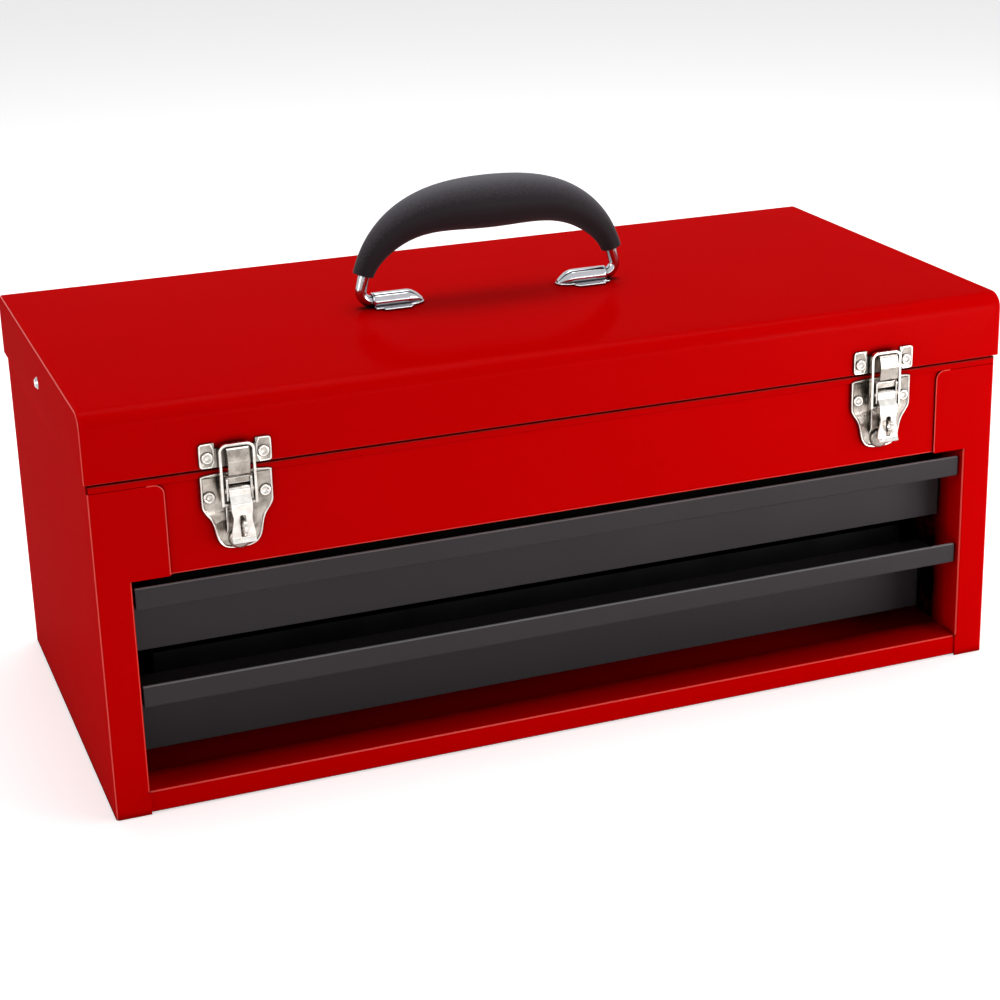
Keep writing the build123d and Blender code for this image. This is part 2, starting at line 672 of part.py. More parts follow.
def handle_grip():
    """Moulded sleeve: an arched tube, thick in the middle and slim at both ends."""
    sections = []
    for side, order in ((-1, grip_half), (1, grip_half[-2::-1])):
        for x, z, slope, tall in order:
            tilt = radians(-side * slope)
            plane = Plane(origin=(side * x, 0, grip_middle + z), x_dir=(0, 1, 0), z_dir=(cos(tilt), 0, sin(tilt)))
            wide = tall + (grip_width - grip_height) * (tall - grip_end_height) / (grip_height - grip_end_height)
            sections.append(plane * Ellipse(wide / 2, tall / 2))
    return loft(sections) - handle_rod()


def handle_bracket():
    """Right-hand bracket: a half-round cover over the rod's end with a sloped nose and flanges."""
    outer_radius = rod_radius + rod_clearance + bracket_sheet
    arch = Pos(0, rod_z) * Circle(outer_radius) + Pos(0, (rod_z + lid_top) / 2) * Rectangle(
        2 * outer_radius, rod_z - lid_top)
    above = Pos(0, lid_top + 2 * outer_radius) * Rectangle(6 * outer_radius, 4 * outer_radius)
    cover = along_x(arch & above, bracket_inner + 1.5, bracket_outer)
    height = rod_z + outer_radius - lid_top
    nose = Plane.XZ * make_face(Polyline(
        (bracket_inner - 5, lid_top + bracket_sheet), (bracket_inner + 1.5, lid_top + bracket_sheet),
        (bracket_inner + bracket_nose * 0.55, lid_top + height * 0.72),
        (bracket_inner + bracket_nose, lid_top + height + 0.01), (bracket_inner - 5, lid_top + height + 5),
        close=True))
    cover -= extrude(nose, amount=2 * outer_radius, both=True)
    channel = rod_x(rod_radius + rod_clearance, rod_end - 0.5, bracket_outer + 1, 0, rod_z)
    width = rod_radius + rod_clearance
    channel += block(rod_end - 0.5, bracket_outer + 1, -width, width, lid_top - 1, rod_z)
    reach = outer_radius + bracket_flange
    flange = Pos((bracket_inner + bracket_outer) / 2, 0) * RectangleRounded(bracket_length, 2 * reach, 3)
    bracket = cover + along_z(flange, lid_top, lid_top + bracket_sheet)
    tab = block(bracket_outer - 22, bracket_outer - 4, -reach - bracket_tab, -reach + 2, lid_top, lid_top + bracket_sheet)
    return bracket + tab - channel


def handle_backing():
    """Stiffening plate under the lid, below the handle's brackets."""
    inner_top = lid_top - lid_sheet
    plate = RectangleRounded(2 * (bracket_outer + backing_overhang), backing_width, backing_width / 8)
    return along_z(plate, inner_top - 1.5, inner_top)


def main():
    """Build every sub-part and write it."""
    left_side = side_panel()
    save(left_side, "side_panel_left")
    save(mirrored(left_side), "side_panel_right")
    save(back_panel(), "back_panel")
    save(floor_pan(), "floor_pan")
    save(front_apron(), "front_apron")
    save(compartment_floor(), "compartment_floor")
    liner = slide_liner()
    save(liner, "slide_liner_left")
    save(mirrored(liner), "slide_liner_right")

    drawers = (("upper", upper_drawer_bottom, upper_lip_top, upper_face_setback),
               ("lower", lower_drawer_bottom, lower_lip_top, lower_face_setback))
    for name, bottom, lip_top, setback in drawers:
        face = lip_front + setback
        middle = (bottom + lip_top) / 2
        save(drawer_tray(bottom, lip_top, face), f"drawer_{name}_tray")
        save(drawer_front(bottom, lip_top, face), f"drawer_{name}_front")
        behind_face = face + 2 * drawer_sheet
        case_runner = runner(middle, behind_face)
        save(case_runner, f"runner_{name}_left")
        save(mirrored(case_runner), f"runner_{name}_right")
        drawer_rail = rail(middle, behind_face)
        save(drawer_rail, f"drawer_{name}_rail_left")
        save(mirrored(drawer_rail), f"drawer_{name}_rail_right")

    save(lid_shell(), "lid_shell")
    save(handle_backing(), "handle_backing_plate")
    save(hinge_leaf_body(), "hinge_leaf_body")
    save(hinge_leaf_lid(), "hinge_leaf_lid")
    save(hinge_pin(), "hinge_pin")

    save(stay_arm(), "stay_arm")
    save(stay_link(), "stay_link")
    save(stay_elbow_rivet(), "stay_elbow_rivet")
    save(stay_lid_rivet(), "stay_lid_rivet")
    save(stay_case_stud(), "stay_body_stud")

    pieces = (("latch_keeper", keeper()), ("latch_base", latch_base()), ("latch_pin", latch_pin()),
              ("latch_staple", latch_staple()), ("latch_lever", latch_lever()), ("latch_loop", latch_loop()))
    for side, x in (("left", -latch_x), ("right", latch_x)):
        for name, piece in pieces:
            save(Pos(x, 0, 0) * piece, f"{name}_{side}")
    keeper_rivet_z = keeper_low + keeper_height * 0.42
    base_rivet_z = base_top - 12.4
    keeper_rivets = []
    base_rivets = []
    for x in (-latch_x, latch_x):
        for offset in (-ear_rivet_x, ear_rivet_x):
            keeper_rivets.append(rivet_on(x + offset, keeper_front, keeper_rivet_z))
            base_rivets.append(rivet_on(x + offset, base_front, base_rivet_z))
    save(Compound(children=keeper_rivets), "keeper_rivets")
    save(Compound(children=base_rivets), "latch_base_rivets")

    save(handle_rod(), "handle_rod")
    save(handle_grip(), "handle_grip")
    bracket = handle_bracket()
    save(bracket, "handle_bracket_right")
    save(mirrored(bracket), "handle_bracket_left")


main()
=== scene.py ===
import json
import math

import bmesh
import bpy
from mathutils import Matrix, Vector


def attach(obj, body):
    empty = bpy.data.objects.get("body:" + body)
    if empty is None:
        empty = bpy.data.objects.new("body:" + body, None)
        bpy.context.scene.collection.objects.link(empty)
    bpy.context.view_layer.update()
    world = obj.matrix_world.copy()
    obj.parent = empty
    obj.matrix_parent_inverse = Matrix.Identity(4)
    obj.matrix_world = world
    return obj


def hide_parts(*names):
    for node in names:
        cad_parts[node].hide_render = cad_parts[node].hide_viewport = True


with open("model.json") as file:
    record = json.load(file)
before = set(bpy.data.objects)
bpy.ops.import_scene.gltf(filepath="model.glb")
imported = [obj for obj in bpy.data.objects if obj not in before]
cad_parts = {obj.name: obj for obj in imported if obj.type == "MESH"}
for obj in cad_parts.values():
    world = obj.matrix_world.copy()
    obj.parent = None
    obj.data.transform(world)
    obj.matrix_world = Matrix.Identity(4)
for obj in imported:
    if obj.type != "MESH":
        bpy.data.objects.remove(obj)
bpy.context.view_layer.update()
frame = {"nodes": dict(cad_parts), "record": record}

nodes = frame["nodes"]
bodies = frame["record"]["behaviour"]["bodies"]
bodyOf = {node: body for body, members in bodies.items() for node in members}
print("frame loaded:", len(nodes), "nodes")

mm = 0.001
foldAngle = math.radians(35)  # where a surface turns by more than this, the sheet is cut or folded
# noise values crowd round a half, so a pattern takes its range from the middle ones
softNoise = {"From_Min": 0.30, "From_Max": 0.70}
crispNoise = {"From_Min": 0.35, "From_Max": 0.65}


def linear(hexColour):
    channels = [int(hexColour[i:i + 2], 16) / 255 for i in (1, 3, 5)]
    flat = [c / 12.92 if c <= 0.04045 else ((c + 0.055) / 1.055) ** 2.4 for c in channels]
    return (*flat, 1.0)


def perMm(size):
    # a pattern's scale, from the real size of one of its marks
    return 1 / (size * mm)


def addNode(tree, kind, links=(), **settings):
    # links: (input name or number, socket it comes from); settings: attributes, or inputs by their name
    node = tree.nodes.new(kind)
    for key, value in settings.items():
        socket = node.inputs.get(key.replace("_", " "))
        if hasattr(node, key):
            setattr(node, key, value)
        elif socket is not None:
            socket.default_value = value
        else:
            raise KeyError(f"{kind} has no {key}")
    for target, source in links:
        tree.links.new(source, node.inputs[target])
    return node


def newMaterial(name):
    material = bpy.data.materials.new(name)
    material.use_nodes = True
    tree = material.node_tree
    shader = tree.nodes["Principled BSDF"]
    place = addNode(tree, "ShaderNodeTexCoord").outputs["Object"]
    return material, tree, shader, place


def connect(tree, shader, **sources):
    for name, source in sources.items():
        tree.links.new(source, shader.inputs[name.replace("_", " ")])


# how open a spot is, as a share, where the painted shade is at its darkest and where there is none
corners = {"dirtiest": 0.30, "clean": 0.95}


def paintedShadeInCorners(tree, colour, dirt, reachMm):
    # painted shade: the colour darkens towards a dark tint where one piece stands close to another
    nearby = addNode(tree, "ShaderNodeAmbientOcclusion", samples=8, Distance=reachMm * mm)
    clean = addNode(tree, "ShaderNodeMapRange", [("Value", nearby.outputs["AO"])],
                    From_Min=corners["dirtiest"], From_Max=corners["clean"])
    mix = addNode(tree, "ShaderNodeMix", [("Factor", clean.outputs["Result"]), ("B", colour)],
                  data_type="RGBA", A=linear(dirt))
    return mix.outputs["Result"]


# edge is a paler red, a painted highlight on folds; the near black red at the end is painted shade in seams
# and under overhangs
enamel = {"red": "#C90001", "redDeep": "#C20001", "edge": "#EA4238", "driftMm": 111.1,
          "gloss": 0.30, "glossWorn": 0.39, "smudgeMm": 35.71,
          "peelMm": 2.6, "peelDepthMm": 0.4, "peelStrength": 0.03,
          "coat": 0.015, "edgeCoat": 0.5, "coatGloss": 0.14,
          "seam": "#1C0000", "seamMm": 5.0}


def redEnamel(name, light, dark, coat):
    # stoving enamel sprayed on sheet steel: deep even red, a soft gloss and a faint orange peel
    material, tree, shader, place = newMaterial(name)
    drift = addNode(tree, "ShaderNodeTexNoise", [("Vector", place)], Scale=perMm(enamel["driftMm"]),
                    Detail=3.0)
    paint = addNode(tree, "ShaderNodeMix", [("Factor", drift.outputs["Fac"])], data_type="RGBA",
                    A=linear(light), B=linear(dark))
    # painted shade: the red darkens in seams, under overhangs and round the latches, where pieces stand close
    colour = paintedShadeInCorners(tree, paint.outputs["Result"], enamel["seam"], enamel["seamMm"])
    peel = addNode(tree, "ShaderNodeTexNoise", [("Vector", place)], Scale=perMm(enamel["peelMm"]),
                   Detail=2.0)
    bump = addNode(tree, "ShaderNodeBump", [("Height", peel.outputs["Fac"])],
                   Strength=enamel["peelStrength"], Distance=enamel["peelDepthMm"] * mm)
    smudge = addNode(tree, "ShaderNodeTexNoise", [("Vector", place)], Scale=perMm(enamel["smudgeMm"]),
                     Detail=4.0)
    rough = addNode(tree, "ShaderNodeMapRange", [("Value", smudge.outputs["Fac"])], **softNoise,
                    To_Min=enamel["gloss"], To_Max=enamel["glossWorn"])
    connect(tree, shader, Base_Color=colour, Roughness=rough.outputs["Result"],
            Normal=bump.outputs["Normal"])
    # nearly all of the light comes back red: only a thin clear skin on top mirrors the room
    shader.inputs["IOR"].default_value = 1.5
    shader.inputs["Specular IOR Level"].default_value = 0.0
    shader.inputs["Coat Weight"].default_value = coat
    shader.inputs["Coat Roughness"].default_value = enamel["coatGloss"]
    return material


# where the painted shade deepens from front to back, in Y, and where it starts, just above the floor sheet, in
# Z
bayShadeFade = {"starts": -111.0, "ends": -97.0, "floorStarts": 1.2, "floorEnds": 1.4, "primer": "#040404",
             "patchMm": 16.67, "thin": 0.85, "thick": 1.15, "gloss": 0.36, "glossWorn": 0.50}


def redOverspray():
    # painted shade: the red enamel inside the drawers' opening darkens to near black from front to back, with
    # patchy edges
    material, tree, shader, place = newMaterial("redEnamelOverspray")
    parts = addNode(tree, "ShaderNodeSeparateXYZ", [(0, place)])
    depth = addNode(tree, "ShaderNodeMapRange", [("Value", parts.outputs["Y"])],
                    From_Min=bayShadeFade["starts"] * mm, From_Max=bayShadeFade["ends"] * mm)
    above = addNode(tree, "ShaderNodeMapRange", [("Value", parts.outputs["Z"])],
                    From_Min=bayShadeFade["floorStarts"] * mm, From_Max=bayShadeFade["floorEnds"] * mm)
    inside = addNode(tree, "ShaderNodeMath", [(0, depth.outputs["Result"]), (1, above.outputs["Result"])],
                     operation="MULTIPLY")
    patchy = addNode(tree, "ShaderNodeTexNoise", [("Vector", place)], Scale=perMm(bayShadeFade["patchMm"]),
                     Detail=3.0)
    edge = addNode(tree, "ShaderNodeMapRange", [("Value", patchy.outputs["Fac"])], **softNoise,
                   To_Min=bayShadeFade["thin"], To_Max=bayShadeFade["thick"])
    factor = addNode(tree, "ShaderNodeMath", [(0, inside.outputs[0]), (1, edge.outputs["Result"])],
                     operation="MULTIPLY", use_clamp=True)
    colour = addNode(tree, "ShaderNodeMix", [("Factor", factor.outputs[0])], data_type="RGBA",
                     A=linear(enamel["redDeep"]), B=linear(bayShadeFade["primer"]))
    rough = addNode(tree, "ShaderNodeMapRange", [("Value", patchy.outputs["Fac"])], **softNoise,
                    To_Min=bayShadeFade["gloss"], To_Max=bayShadeFade["glossWorn"])
    connect(tree, shader, Base_Color=colour.outputs["Result"], Roughness=rough.outputs["Result"])
    shader.inputs["Specular IOR Level"].default_value = 0.0
    return material


# bead and beadDeep are a paler grey, a painted highlight on the drawers' beads
powder = {"charcoal": "#393537", "charcoalDeep": "#332F31", "bead": "#8B888A", "beadDeep": "#6E6C6E",
          "driftMm": 62.5, "grainMm": 0.9, "grainDepthMm": 0.15, "grainStrength": 0.12,
          "gloss": 0.40, "glossWorn": 0.52, "mirror": 0.12}


def charcoalPowderCoat(name, light, dark):
    # powder coat on the drawers: satin charcoal with a fine pebbled grain, drawn a little coarse to show
    material, tree, shader, place = newMaterial(name)
    grain = addNode(tree, "ShaderNodeTexNoise", [("Vector", place)], Scale=perMm(powder["grainMm"]),
                    Detail=3.0)
    drift = addNode(tree, "ShaderNodeTexNoise", [("Vector", place)], Scale=perMm(powder["driftMm"]),
                    Detail=2.0)
    colour = addNode(tree, "ShaderNodeMix", [("Factor", drift.outputs["Fac"])], data_type="RGBA",
                     A=linear(light), B=linear(dark))
    bump = addNode(tree, "ShaderNodeBump", [("Height", grain.outputs["Fac"])],
                   Strength=powder["grainStrength"], Distance=powder["grainDepthMm"] * mm)
    rough = addNode(tree, "ShaderNodeMapRange", [("Value", grain.outputs["Fac"])], **crispNoise,
                    To_Min=powder["gloss"], To_Max=powder["glossWorn"])
    connect(tree, shader, Base_Color=colour.outputs["Result"], Roughness=rough.outputs["Result"],
            Normal=bump.outputs["Normal"])
    shader.inputs["Specular IOR Level"].default_value = powder["mirror"]
    return material


lacquer = {"black": "#060606", "thin": "#0D0D0E", "driftMm": 25.0,
           "gloss": 0.42, "glossWorn": 0.58, "mirror": 0.12}


def blackLacquer():
    # thin black lacquer on the steel inside the drawer bay: dull, slightly uneven; its near black is partly
    # painted shade of the dark bay
    material, tree, shader, place = newMaterial("blackLacquer")
    drift = addNode(tree, "ShaderNodeTexNoise", [("Vector", place)], Scale=perMm(lacquer["driftMm"]),
                    Detail=3.0)
    colour = addNode(tree, "ShaderNodeMix", [("Factor", drift.outputs["Fac"])], data_type="RGBA",
                     A=linear(lacquer["black"]), B=linear(lacquer["thin"]))
    rough = addNode(tree, "ShaderNodeMapRange", [("Value", drift.outputs["Fac"])], **softNoise,
                    To_Min=lacquer["gloss"], To_Max=lacquer["glossWorn"])
    connect(tree, shader, Base_Color=colour.outputs["Result"], Roughness=rough.outputs["Result"])
    shader.inputs["Specular IOR Level"].default_value = lacquer["mirror"]
    return material


# lever, leverDark and edge are lighter copies of the nickel, painted highlights; the darkest colour is painted
# shade in crevices
plated = {"field": "#B4ABA2", "fieldDark": "#8E867E", "lever": "#E9E4DE", "leverDark": "#D2CBC3",
          "edge": "#FBF9F5", "dirt": "#17110E", "dirtMm": 3.5, "cloudMm": 5.263,
          "lineMm": 0.35, "lineLengthMm": 9.0, "lineDepthMm": 0.05, "lineStrength": 0.10,
          "fieldGloss": 0.20, "leverGloss": 0.16, "edgeGloss": 0.12, "glossSpread": 0.14}


def brushedNickel(name, light, dark, gloss):
    # nickel plate over pressed steel: warm silver, with a linishing belt's fine lines running up and down
    material, tree, shader, place = newMaterial(name)
    stretch = addNode(tree, "ShaderNodeMapping", [("Vector", place)])
    across = perMm(plated["lineMm"])
    stretch.inputs["Scale"].default_value = (across, across, perMm(plated["lineLengthMm"]))
    lines = addNode(tree, "ShaderNodeTexNoise", [("Vector", stretch.outputs["Vector"])], Scale=1.0,
                    Detail=2.0)
    cloud = addNode(tree, "ShaderNodeTexNoise", [("Vector", place)], Scale=perMm(plated["cloudMm"]),
                    Detail=2.0)
    patches = addNode(tree, "ShaderNodeMapRange", [("Value", cloud.outputs["Fac"])], **crispNoise)
    plate = addNode(tree, "ShaderNodeMix", [("Factor", patches.outputs["Result"])], data_type="RGBA",
                    A=linear(light), B=linear(dark))
    # painted shade: the nickel darkens in crevices and between close parts
    colour = paintedShadeInCorners(tree, plate.outputs["Result"], plated["dirt"], plated["dirtMm"])
    rough = addNode(tree, "ShaderNodeMapRange", [("Value", lines.outputs["Fac"])], **softNoise,
                    To_Min=gloss, To_Max=gloss + plated["glossSpread"])
    bump = addNode(tree, "ShaderNodeBump", [("Height", lines.outputs["Fac"])],
                   Strength=plated["lineStrength"], Distance=plated["lineDepthMm"] * mm)
    connect(tree, shader, Base_Color=colour, Roughness=rough.outputs["Result"],
            Normal=bump.outputs["Normal"])
    shader.inputs["Metallic"].default_value = 1.0
    return material


# edge is pure white, a painted highlight on cut edges; the darkest colour is painted shade in crevices
chromed = {"light": "#C9C9CD", "dark": "#A9AAAF", "edge": "#FFFFFF", "dirt": "#1B1516", "dirtMm": 2.2,
           "cloudMm": 8.333, "gloss": 0.06, "glossWorn": 0.13}


def brightChrome(name, light, dark):
    # bright chrome on the bent rod and its brackets: cool, mirror smooth, faintly clouded by handling
    material, tree, shader, place = newMaterial(name)
    cloud = addNode(tree, "ShaderNodeTexNoise", [("Vector", place)], Scale=perMm(chromed["cloudMm"]),
                    Detail=3.0)
    plate = addNode(tree, "ShaderNodeMix", [("Factor", cloud.outputs["Fac"])], data_type="RGBA",
                    A=linear(light), B=linear(dark))
    # painted shade: the chrome darkens in crevices and between close parts
    colour = paintedShadeInCorners(tree, plate.outputs["Result"], chromed["dirt"], chromed["dirtMm"])
    rough = addNode(tree, "ShaderNodeMapRange", [("Value", cloud.outputs["Fac"])], **softNoise,
                    To_Min=chromed["gloss"], To_Max=chromed["glossWorn"])
    connect(tree, shader, Base_Color=colour, Roughness=rough.outputs["Result"])
    shader.inputs["Metallic"].default_value = 1.0
    return material


zinc = {"light": "#84888B", "dark": "#6B7074", "driftMm": 16.67, "spangleMm": 3.846, "spangleReach": 0.8,
        "gloss": 0.40, "glossWorn": 0.52}


def zincPlate():
    # zinc on the stay, the hinge pin and the plate below the handle: grey, with a soft spangle
    material, tree, shader, place = newMaterial("greyZincPlate")
    spangle = addNode(tree, "ShaderNodeTexVoronoi", [("Vector", place)], Scale=perMm(zinc["spangleMm"]))
    drift = addNode(tree, "ShaderNodeTexNoise", [("Vector", place)], Scale=perMm(zinc["driftMm"]),
                    Detail=3.0)
    colour = addNode(tree, "ShaderNodeMix", [("Factor", drift.outputs["Fac"])], data_type="RGBA",
                     A=linear(zinc["light"]), B=linear(zinc["dark"]))
    rough = addNode(tree, "ShaderNodeMapRange", [("Value", spangle.outputs["Distance"])],
                    From_Max=zinc["spangleReach"], To_Min=zinc["gloss"], To_Max=zinc["glossWorn"])
    connect(tree, shader, Base_Color=colour.outputs["Result"], Roughness=rough.outputs["Result"])
    shader.inputs["Metallic"].default_value = 1.0
    return material


# the paler grey is a painted highlight along the grip's upward-facing top
gripSkin = {"rubbed": "#5C5A60", "black": "#1F1C20", "rubbedFrom": 0.15, "speckle": 0.5,
            "poreMm": 1.1, "poreDepthMm": 0.2, "poreStrength": 0.35,
            "gloss": 0.50, "glossWorn": 0.66, "mirror": 0.12, "bloom": 0.10, "bloomSpread": 0.5}


def blackRubberSkin():
    # the grip's skin: matt black closed-cell rubber with fine pores; its upward-facing top is painted paler, a
    # painted highlight
    material, tree, shader, place = newMaterial("blackRubberSkin")
    pores = addNode(tree, "ShaderNodeTexNoise", [("Vector", place)], Scale=perMm(gripSkin["poreMm"]),
                    Detail=4.0)
    # painted highlight: the paler colour follows how far a face looks upwards
    facing = addNode(tree, "ShaderNodeSeparateXYZ",
                     [(0, addNode(tree, "ShaderNodeTexCoord").outputs["Normal"])])
    speckle = addNode(tree, "ShaderNodeMath", [(0, pores.outputs["Fac"])], operation="MULTIPLY_ADD")
    speckle.inputs[1].default_value = gripSkin["speckle"]
    speckle.inputs[2].default_value = -gripSkin["speckle"] / 2
    height = addNode(tree, "ShaderNodeMath", [(0, facing.outputs["Z"]), (1, speckle.outputs[0])],
                     operation="ADD")
    rubbed = addNode(tree, "ShaderNodeMapRange", [("Value", height.outputs[0])],
                     From_Min=gripSkin["rubbedFrom"])
    colour = addNode(tree, "ShaderNodeMix", [("Factor", rubbed.outputs["Result"])], data_type="RGBA",
                     A=linear(gripSkin["black"]), B=linear(gripSkin["rubbed"]))
    bump = addNode(tree, "ShaderNodeBump", [("Height", pores.outputs["Fac"])],
                   Strength=gripSkin["poreStrength"], Distance=gripSkin["poreDepthMm"] * mm)
    rough = addNode(tree, "ShaderNodeMapRange", [("Value", pores.outputs["Fac"])], **crispNoise,
                    To_Min=gripSkin["gloss"], To_Max=gripSkin["glossWorn"])
    connect(tree, shader, Base_Color=colour.outputs["Result"], Roughness=rough.outputs["Result"],
            Normal=bump.outputs["Normal"])
    shader.inputs["Specular IOR Level"].default_value = gripSkin["mirror"]
    shader.inputs["Sheen Weight"].default_value = gripSkin["bloom"]
    shader.inputs["Sheen Roughness"].default_value = gripSkin["bloomSpread"]
    return material


finishes = {
    "red": redEnamel("redStovingEnamel", enamel["red"], enamel["redDeep"], enamel["coat"]),
    "redOverspray": redOverspray(),
    # painted highlight: on the outside of a fold the enamel takes a paler red, as if it caught the light
    "redEdge": redEnamel("redEnamelAtFold", enamel["edge"], enamel["edge"], enamel["edgeCoat"]),
    "charcoal": charcoalPowderCoat("charcoalPowderCoat", powder["charcoal"], powder["charcoalDeep"]),
    # painted highlight: the top of the rolled bead takes a paler grey
    "charcoalBead": charcoalPowderCoat("rubbedPowderCoat", powder["bead"], powder["beadDeep"]),
    "black": blackLacquer(),
    "nickel": brushedNickel("brushedNickelPlate", plated["field"], plated["fieldDark"],
                            plated["fieldGloss"]),
    # painted highlight: the levers, loops, staples, rivets and the plates' rim bands take a lighter copy of
    # the nickel, and cut and folded edges a near white one
    "nickelLever": brushedNickel("thumbPolishedNickel", plated["lever"], plated["leverDark"],
                                 plated["leverGloss"]),
    "nickelEdge": brushedNickel("burnishedNickelEdge", plated["edge"], plated["lever"], plated["edgeGloss"]),
    "chrome": brightChrome("brightChromePlate", chromed["light"], chromed["dark"]),
    "chromeEdge": brightChrome("burnishedChromeEdge", chromed["edge"], chromed["light"]),
    "zinc": zincPlate(),
    "grip": blackRubberSkin()}
print("materials made:", len(finishes))


def finishFor(node):
    if "rail" in node or "runner" in node or node.endswith("tray"):
        return "black"
    if node in ("hinge_pin", "handle_backing_plate"):
        return "zinc"
    if node.startswith("stay") and node != "stay_lid_rivet":
        return "zinc"
    if node.startswith("slide_liner") or node == "floor_pan":
        return "redOverspray"
    if node.startswith("drawer"):
        return "charcoal"
    if "lever" in node or "loop" in node or "staple" in node:
        return "nickelLever"
    if node.startswith("latch") or node == "keeper_rivets":
        return "nickel"
    if node == "handle_grip":
        return "grip"
    if node.startswith("handle") or node == "stay_lid_rivet":
        return "chrome"
    return "red"


for node, part in nodes.items():
    part.data.materials.clear()
    part.data.materials.append(finishes[finishFor(node)])


def addPiece(name, data):
    piece = bpy.data.objects.new(name, data)
    bpy.context.scene.collection.objects.link(piece)
    return piece


def pressRadius(piece, radius, segments):
    # the small radius that a press leaves on cut and folded edges
    bevel = piece.modifiers.new("pressRadius", "BEVEL")
    bevel.width = radius * mm
    bevel.segments = segments
    bevel.limit_method = "ANGLE"
    bevel.angle_limit = foldAngle
    bevel.harden_normals = True
    return bevel


# the radius on each folded piece's edges, in millimetres
folds = {"side_panel_left": 0.45, "side_panel_right": 0.45, "back_panel": 0.4, "floor_pan": 0.45,
         "front_apron": 0.35, "lid_shell": 0.45, "drawer_upper_front": 0.3, "drawer_lower_front": 0.3,
         "drawer_upper_tray": 0.25, "drawer_lower_tray": 0.25,
         "latch_keeper_left": 0.35, "latch_keeper_right": 0.35, "latch_lever_left": 0.3,
         "latch_lever_right": 0.3, "latch_loop_left": 0.3, "latch_loop_right": 0.3}
# the paler finish that each finish shows as a painted highlight on its folds and edges
paintedHighlightFinish = {"red": "redEdge", "redOverspray": "redEdge", "nickel": "nickelEdge",
              "nickelLever": "nickelEdge", "charcoal": "charcoalBead", "black": "black"}
# the heights between which the top of each drawer's bead lies, where it takes the painted highlight
beadBand = {"drawer_upper_front": (123.4, 124.5), "drawer_lower_front": (69.5, 70.6)}
# corners nearer than weldMm are one, and faces within flatDegrees of each other are one flat area; the rest
# say how squarely a face looks along an axis, as a cosine, where the painted highlight goes: at the middle of
# a fold or on top of a bead
sheet = {"weldMm": 0.005, "flatDegrees": 0.6, "foldBelow": 0.86, "lidFoldAbove": 0.55, "beadAbove": 0.6}


def showsPaintedHighlight(name, face):
    # painted highlight: the middle of each tight fold takes the paler finish, and so does the top of a
    # drawer's bead
    if name in beadBand:
        low, high = beadBand[name]
        return low * mm < face.calc_center_median().z < high * mm and face.normal.z > sheet["beadAbove"]
    if name == "lid_shell":
        return sheet["lidFoldAbove"] < abs(face.normal.x) < sheet["foldBelow"]
    return max(abs(part) for part in face.normal) < sheet["foldBelow"]


def joined(source):
    # the same surface with its corners shared and each flat area in one face, so that an edge can be rounded
    mesh = source.data.copy()
    skin = bmesh.new()
    skin.from_mesh(mesh)
    bmesh.ops.remove_doubles(skin, verts=skin.verts, dist=sheet["weldMm"] * mm)
    bmesh.ops.dissolve_limit(skin, angle_limit=math.radians(sheet["flatDegrees"]), verts=skin.verts,
                             edges=skin.edges)
    # faces of the painted highlight take the second finish
    for face in skin.faces:
        face.material_index = int(showsPaintedHighlight(source.name, face))
    skin.to_mesh(mesh)
    skin.free()
    mesh.shade_smooth()
    mesh.set_sharp_from_angle(angle=foldAngle)
    return mesh


def roundEdges(node, radius):
    finish = finishFor(node)
    mesh = joined(nodes[node])
    mesh.materials.append(finishes[paintedHighlightFinish[finish]])
    piece = addPiece(node + "_rounded", mesh)
    bevel = pressRadius(piece, radius, 3)
    # the bevel takes the painted highlight, except on the drawers
    if finish != "charcoal":
        bevel.material = 1
    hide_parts(node)
    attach(piece, bodyOf[node])


for node, radius in folds.items():
    roundEdges(node, radius)
print("edges rounded:", len(folds))


# the wide flange's cut edge: up its side, round its corner and along its top to where the bead ends
flange = {"edge": 220.5, "foot": 130.4, "top": 178.6, "corner": 5.0, "cornerSteps": 8, "end": 229.0,
          "beadY": -126.3, "beadMm": 0.38}


def flangeHighlightBead(name, side):
    # a fine bead laid along the cut edge of the wide flange, in the paler red: a painted highlight that runs
    # along it
    centre = (flange["edge"] + flange["corner"], flange["top"] - flange["corner"])
    path = [(flange["edge"], flange["foot"])]
    for k in range(flange["cornerSteps"] + 1):
        turn = math.pi - math.pi / 2 * k / flange["cornerSteps"]
        path.append((centre[0] + flange["corner"] * math.cos(turn),
                     centre[1] + flange["corner"] * math.sin(turn)))
    path.append((flange["end"], flange["top"]))
    curve = bpy.data.curves.new(name, "CURVE")
    curve.dimensions = "3D"
    curve.bevel_depth = flange["beadMm"] * mm
    curve.bevel_resolution = 3
    curve.use_fill_caps = True
    spline = curve.splines.new("POLY")
    spline.points.add(len(path) - 1)
    for point, (x, z) in zip(spline.points, path):
        point.co = (side * x * mm, flange["beadY"] * mm, z * mm, 1)
    curve.materials.append(finishes["redEdge"])
    bead = addPiece(name, curve)
    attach(bead, "case")


flangeHighlightBead("flangeBeadLeft", -1)
flangeHighlightBead("flangeBeadRight", 1)
print("flange beads laid: 2")


def meshPiece(name, skin, *coats):
    mesh = bpy.data.meshes.new(name)
    skin.to_mesh(mesh)
    skin.free()
    mesh.shade_smooth()
    for coat in coats:
        mesh.materials.append(finishes[coat])
    return addPiece(name, mesh)


def pressedPiece(name, skin, coat, edgeCoat, radius=0.0):
    # a closed pressing, crisp at its folds; with a radius, its edges are rounded and take the second finish, a
    # painted highlight
    bmesh.ops.recalc_face_normals(skin, faces=skin.faces)
    piece = meshPiece(name, skin, coat, edgeCoat)
    piece.data.set_sharp_from_angle(angle=foldAngle)
    if radius:
        pressRadius(piece, radius, 2).material = 1
    return piece


def bandBetween(skin, first, last):
    # a closed band of faces between two rings of as many corners
    band = []
    for k in range(len(first)):
        after = (k + 1) % len(first)
        band.append(skin.faces.new((first[k], first[after], last[after], last[k])))
    return band


